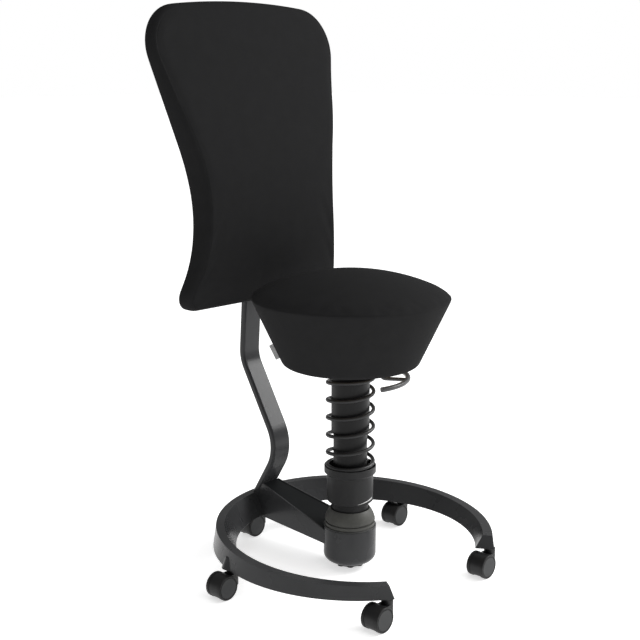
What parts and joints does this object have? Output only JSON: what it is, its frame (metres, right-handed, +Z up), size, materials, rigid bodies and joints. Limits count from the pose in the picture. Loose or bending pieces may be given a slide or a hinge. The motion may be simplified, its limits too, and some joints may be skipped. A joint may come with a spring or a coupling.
{
  "type": "wobble stool with backrest",
  "caption": "Wobble stool on castors with a sprung, tilting column, round fabric seat, release bar and a tall, waisted fabric backrest on a bent post over an open-fronted base ring.",
  "frame": {"origin": "on the floor under the column's axis", "axes": "+Z up, the sitter faces -Y, the backrest is at +Y, +X to the sitter's left"},
  "size_m": [0.6122, 0.5919, 1.161],
  "materials": {
    "frame": "satin powder coat",
    "insert": "smooth black",
    "tube": "satin black",
    "spring": "black coating",
    "lever": "satin grey",
    "casting": "satin black",
    "steel": "machined",
    "moulding": "fine texture",
    "castor_hood": "satin",
    "wheel": "satin",
    "rubber": "smooth",
    "plywood": "raw",
    "cover": "fine black weave"
  },
  "bodies": {
    "base": {"base_ring": "frame", "support_arm": "frame", "arm_insert": "insert", "base_cup": "frame", "retaining_ring": "moulding", "buffer_ring": "rubber", "tilt_bracket": "steel", "backrest_post": "frame"},
    "knob": {"stiffness_knob": "moulding", "knob_spindle": "steel"},
    "cross": {"pivot_cross": "steel"},
    "column": {"column_stem": "tube", "dome_boot": "rubber", "lower_tube": "tube", "coil_spring": "spring"},
    "adjuster": {"spring_cup": "moulding"},
    "carriage": {"upper_tube": "tube", "guide_bush": "moulding", "spring_collar": "tube", "inner_tube": "steel"},
    "lift_rod": {"piston_rod": "steel", "thrust_washer": "steel"},
    "seat": {"gas_cylinder": "tube", "seat_hub": "casting", "lever_pin": "steel", "seat_plate": "plywood", "seat_screws": "steel", "seat_cushion": "cover"},
    "valve": {"valve_pin": "steel"},
    "lever": {"release_lever": "lever"},
    "backrest": {"backrest_pad": "cover", "backrest_shell": "moulding", "backrest_bracket": "casting"},
    "clamp": {"clamp_knob": "moulding"},
    "castor_rear": {"castor_rear_hood": "castor_hood", "castor_rear_stem": "steel", "castor_rear_axle": "steel"},
    "castor_rear_wheel_a": {"castor_rear_wheel_a": "wheel"},
    "castor_rear_wheel_b": {"castor_rear_wheel_b": "wheel"},
    "castor_left": {"castor_left_hood": "castor_hood", "castor_left_stem": "steel", "castor_left_axle": "steel"},
    "castor_left_wheel_a": {"castor_left_wheel_a": "wheel"},
    "castor_left_wheel_b": {"castor_left_wheel_b": "wheel"},
    "castor_front_left": {"castor_front_left_hood": "castor_hood", "castor_front_left_stem": "steel", "castor_front_left_axle": "steel"},
    "castor_front_left_wheel_a": {"castor_front_left_wheel_a": "wheel"},
    "castor_front_left_wheel_b": {"castor_front_left_wheel_b": "wheel"},
    "castor_front_right": {"castor_front_right_hood": "castor_hood", "castor_front_right_stem": "steel", "castor_front_right_axle": "steel"},
    "castor_front_right_wheel_a": {"castor_front_right_wheel_a": "wheel"},
    "castor_front_right_wheel_b": {"castor_front_right_wheel_b": "wheel"},
    "castor_right": {"castor_right_hood": "castor_hood", "castor_right_stem": "steel", "castor_right_axle": "steel"},
    "castor_right_wheel_a": {"castor_right_wheel_a": "wheel"},
    "castor_right_wheel_b": {"castor_right_wheel_b": "wheel"}
  },
  "joints": [
    {"name": "tilt_forward", "type": "hinge", "parent": "base", "child": "cross", "pos_m": [0, 0, 0.0895], "axis": [1, 0, 0], "range_deg": [-1, 8], "stiffness_Nm_per_rad": 300},
    {"name": "tilt_side", "type": "hinge", "parent": "cross", "child": "column", "pos_m": [0, 0, 0.0895], "axis": [0, 1, 0], "range_deg": [-8, 8], "stiffness_Nm_per_rad": 300},
    {"name": "bounce", "type": "slide", "parent": "column", "child": "carriage", "axis": [0, 0, 1], "range_m": [-0.05, 0], "stiffness_N_per_m": 15000, "springref_m": 0.01, "deforming": ["coil_spring"]},
    {"name": "spring_adjust", "type": "hinge", "parent": "column", "child": "adjuster", "pos_m": [0, 0, 0.18], "axis": [0, 0, 1], "range_deg": [0, 270]},
    {"name": "swivel", "type": "hinge", "parent": "carriage", "child": "lift_rod", "pos_m": [0, 0, 0.3], "axis": [0, 0, 1], "continuous": true},
    {"name": "lift", "type": "slide", "parent": "lift_rod", "child": "seat", "axis": [0, 0, 1], "range_m": [0, 0.08]},
    {"name": "lever_pull", "type": "hinge", "parent": "seat", "child": "lever", "pos_m": [0.02042, -0.03439, 0.45], "axis": [-0.8599, -0.5105, 0], "range_deg": [0, 4], "stiffness_Nm_per_rad": 1.5},
    {"name": "valve_press", "type": "slide", "parent": "seat", "child": "valve", "axis": [0, 0, 1], "range_m": [-0.003, 0]},
    {"name": "stiffness_turn", "type": "hinge", "parent": "base", "child": "knob", "pos_m": [0, 0, 0.01], "axis": [0, 0, 1], "range_deg": [0, 300]},
    {"name": "back_height", "type": "slide", "parent": "base", "child": "backrest", "axis": [0, -0.0698, 0.9976], "range_m": [0, 0.05]},
    {"name": "clamp_turn", "type": "hinge", "parent": "backrest", "child": "clamp", "pos_m": [0, 0.30015, 0.67473], "axis": [0, 0.9976, 0.0698], "range_deg": [0, 270]},
    {"name": "castor_rear_swivel", "type": "hinge", "parent": "base", "child": "castor_rear", "pos_m": [0, 0.272, 0.05], "axis": [0, 0, 1], "continuous": true},
    {"name": "castor_rear_wheel_a_roll", "type": "hinge", "parent": "castor_rear", "child": "castor_rear_wheel_a", "pos_m": [-0.026, 0.272, 0.025], "axis": [0, 1, 0], "continuous": true},
    {"name": "castor_rear_wheel_b_roll", "type": "hinge", "parent": "castor_rear", "child": "castor_rear_wheel_b", "pos_m": [-0.026, 0.272, 0.025], "axis": [0, 1, 0], "continuous": true},
    {"name": "castor_left_swivel", "type": "hinge", "parent": "base", "child": "castor_left", "pos_m": [-0.2682, 0.07714, 0.05], "axis": [0, 0, 1], "continuous": true},
    {"name": "castor_left_wheel_a_roll", "type": "hinge", "parent": "castor_left", "child": "castor_left_wheel_a", "pos_m": [-0.2942, 0.07714, 0.025], "axis": [0, 1, 0], "continuous": true},
    {"name": "castor_left_wheel_b_roll", "type": "hinge", "parent": "castor_left", "child": "castor_left_wheel_b", "pos_m": [-0.2942, 0.07714, 0.025], "axis": [0, 1, 0], "continuous": true},
    {"name": "castor_front_left_swivel", "type": "hinge", "parent": "base", "child": "castor_front_left", "pos_m": [-0.16576, -0.23814, 0.05], "axis": [0, 0, 1], "continuous": true},
    {"name": "castor_front_left_wheel_a_roll", "type": "hinge", "parent": "castor_front_left", "child": "castor_front_left_wheel_a", "pos_m": [-0.19176, -0.23814, 0.025], "axis": [0, 1, 0], "continuous": true},
    {"name": "castor_front_left_wheel_b_roll", "type": "hinge", "parent": "castor_front_left", "child": "castor_front_left_wheel_b", "pos_m": [-0.19176, -0.23814, 0.025], "axis": [0, 1, 0], "continuous": true},
    {"name": "castor_front_right_swivel", "type": "hinge", "parent": "base", "child": "castor_front_right", "pos_m": [0.16576, -0.23814, 0.05], "axis": [0, 0, 1], "continuous": true},
    {"name": "castor_front_right_wheel_a_roll", "type": "hinge", "parent": "castor_front_right", "child": "castor_front_right_wheel_a", "pos_m": [0.13975, -0.23814, 0.025], "axis": [0, 1, 0], "continuous": true},
    {"name": "castor_front_right_wheel_b_roll", "type": "hinge", "parent": "castor_front_right", "child": "castor_front_right_wheel_b", "pos_m": [0.13975, -0.23814, 0.025], "axis": [0, 1, 0], "continuous": true},
    {"name": "castor_right_swivel", "type": "hinge", "parent": "base", "child": "castor_right", "pos_m": [0.2682, 0.07714, 0.05], "axis": [0, 0, 1], "continuous": true},
    {"name": "castor_right_wheel_a_roll", "type": "hinge", "parent": "castor_right", "child": "castor_right_wheel_a", "pos_m": [0.2422, 0.07714, 0.025], "axis": [0, 1, 0], "continuous": true},
    {"name": "castor_right_wheel_b_roll", "type": "hinge", "parent": "castor_right", "child": "castor_right_wheel_b", "pos_m": [0.2422, 0.07714, 0.025], "axis": [0, 1, 0], "continuous": true}
  ],
  "couplings": [
    {"joint": "valve_press", "follows": "lever_pull", "m_per_rad": -0.04}
  ]
}
